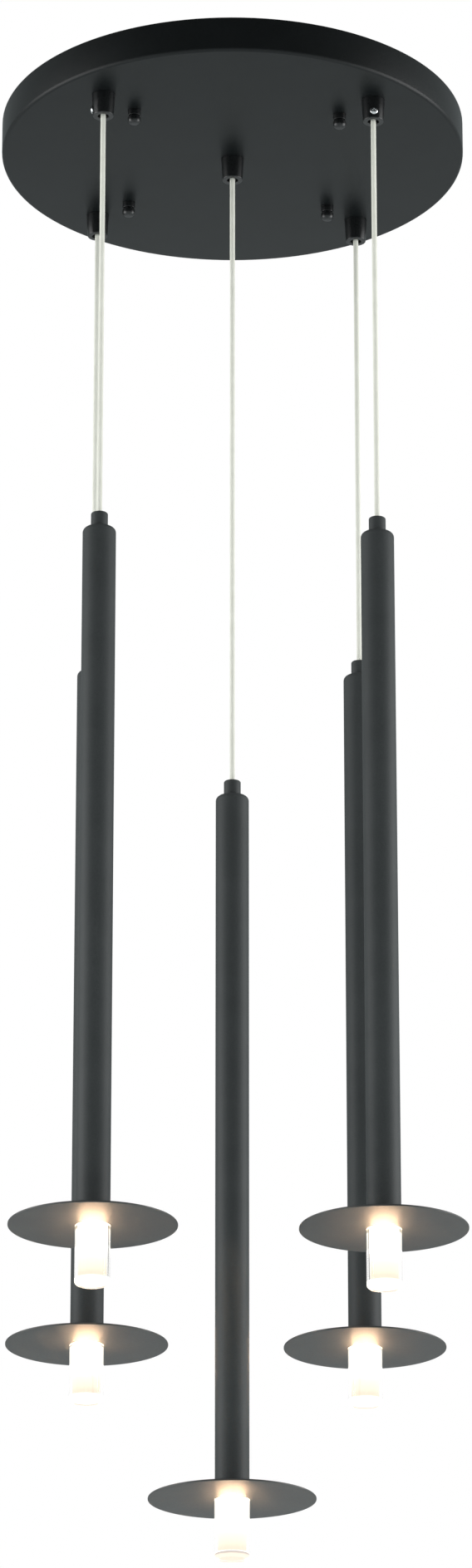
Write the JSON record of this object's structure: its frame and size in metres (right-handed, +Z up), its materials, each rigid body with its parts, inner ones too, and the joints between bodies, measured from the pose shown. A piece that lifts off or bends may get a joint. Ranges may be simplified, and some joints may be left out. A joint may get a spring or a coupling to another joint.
{
  "type": "cluster pendant",
  "caption": "Round ceiling canopy with slim tube lamps hung on braided cords at staggered heights, each ending in a flat disc and a lit glass cylinder.",
  "frame": {"origin": "middle of the ceiling plane, on the top face of the mounting bracket, halfway between the two outlet box slots", "axes": "+Z up into the ceiling, the lamps hang towards -Z; -Y is the front, and +X is to the right seen from the front"},
  "size_m": [0.4, 0.4, 1.2645],
  "materials": {
    "black_powder_coat": "matte charcoal powder coat",
    "black_tube_coat": "matte charcoal powder coat",
    "black_fittings": "satin black anodised",
    "zinc_plate": "zinc plated sheet",
    "zinc_fasteners": "zinc plated",
    "earth_brass": "bare brass",
    "chrome_screws": "bright chrome",
    "driver_case": "moulded white plastic",
    "terminal_plastic": "moulded natural plastic",
    "ivory_textile": "braided ivory textile",
    "wire_insulation": "thin clear-white insulation",
    "bare_aluminium": "turned",
    "led_board": "white coated board with a yellow LED",
    "frosted_core": "frosted, lit from above",
    "clear_glass": "clear polished glass"
  },
  "bodies": {
    "canopy": {"canopy_pan": "black_powder_coat", "mounting_bracket": "zinc_plate", "mounting_studs": "zinc_fasteners", "stud_nuts": "zinc_fasteners", "cap_nuts": "black_fittings", "cord_grips": "black_fittings", "grip_set_screws": "chrome_screws", "grip_lock_nuts": "zinc_fasteners", "led_driver": "driver_case", "terminal_block": "terminal_plastic", "bracket_screws": "zinc_fasteners", "ground_screw": "earth_brass", "canopy_leads": "ivory_textile", "driver_leads": "wire_insulation"},
    "hanging_cord_1": {"cord_1": "ivory_textile"},
    "lamp_1": {"collar_1": "black_tube_coat", "tube_1": "black_tube_coat", "lamp_leads_1": "wire_insulation", "heat_sink_1": "bare_aluminium", "disc_1": "black_tube_coat", "led_board_1": "led_board", "diffuser_1": "frosted_core", "glass_1": "clear_glass"},
    "hanging_cord_2": {"cord_2": "ivory_textile"},
    "lamp_2": {"collar_2": "black_tube_coat", "tube_2": "black_tube_coat", "lamp_leads_2": "wire_insulation", "heat_sink_2": "bare_aluminium", "disc_2": "black_tube_coat", "led_board_2": "led_board", "diffuser_2": "frosted_core", "glass_2": "clear_glass"},
    "hanging_cord_3": {"cord_3": "ivory_textile"},
    "lamp_3": {"collar_3": "black_tube_coat", "tube_3": "black_tube_coat", "lamp_leads_3": "wire_insulation", "heat_sink_3": "bare_aluminium", "disc_3": "black_tube_coat", "led_board_3": "led_board", "diffuser_3": "frosted_core", "glass_3": "clear_glass"},
    "hanging_cord_4": {"cord_4": "ivory_textile"},
    "lamp_4": {"collar_4": "black_tube_coat", "tube_4": "black_tube_coat", "lamp_leads_4": "wire_insulation", "heat_sink_4": "bare_aluminium", "disc_4": "black_tube_coat", "led_board_4": "led_board", "diffuser_4": "frosted_core", "glass_4": "clear_glass"},
    "hanging_cord_5": {"cord_5": "ivory_textile"},
    "lamp_5": {"collar_5": "black_tube_coat", "tube_5": "black_tube_coat", "lamp_leads_5": "wire_insulation", "heat_sink_5": "bare_aluminium", "disc_5": "black_tube_coat", "led_board_5": "led_board", "diffuser_5": "frosted_core", "glass_5": "clear_glass"}
  },
  "joints": [
    {"name": "sway_1", "type": "hinge", "parent": "canopy", "child": "hanging_cord_1", "pos_m": [-0.11455, -0.11455, -0.045], "axis": [0, 1, 0], "range_deg": [-4, 4]},
    {"name": "drop_1", "type": "slide", "parent": "hanging_cord_1", "child": "lamp_1", "axis": [0, 0, 1], "range_m": [0, 0.32], "deforming": ["cord_1"]},
    {"name": "sway_2", "type": "hinge", "parent": "canopy", "child": "hanging_cord_2", "pos_m": [-0.11455, 0.11455, -0.045], "axis": [0, 1, 0], "range_deg": [-4, 4]},
    {"name": "drop_2", "type": "slide", "parent": "hanging_cord_2", "child": "lamp_2", "axis": [0, 0, 1], "range_m": [0, 0.36], "deforming": ["cord_2"]},
    {"name": "sway_3", "type": "hinge", "parent": "canopy", "child": "hanging_cord_3", "pos_m": [0, 0, -0.045], "axis": [0, 1, 0], "range_deg": [-4, 4]},
    {"name": "drop_3", "type": "slide", "parent": "hanging_cord_3", "child": "lamp_3", "axis": [0, 0, 1], "range_m": [0, 0.5], "deforming": ["cord_3"]},
    {"name": "sway_4", "type": "hinge", "parent": "canopy", "child": "hanging_cord_4", "pos_m": [0.11455, 0.11455, -0.045], "axis": [0, 1, 0], "range_deg": [-4, 4]},
    {"name": "drop_4", "type": "slide", "parent": "hanging_cord_4", "child": "lamp_4", "axis": [0, 0, 1], "range_m": [0, 0.36], "deforming": ["cord_4"]},
    {"name": "sway_5", "type": "hinge", "parent": "canopy", "child": "hanging_cord_5", "pos_m": [0.11455, -0.11455, -0.045], "axis": [0, 1, 0], "range_deg": [-4, 4]},
    {"name": "drop_5", "type": "slide", "parent": "hanging_cord_5", "child": "lamp_5", "axis": [0, 0, 1], "range_m": [0, 0.32], "deforming": ["cord_5"]}
  ]
}
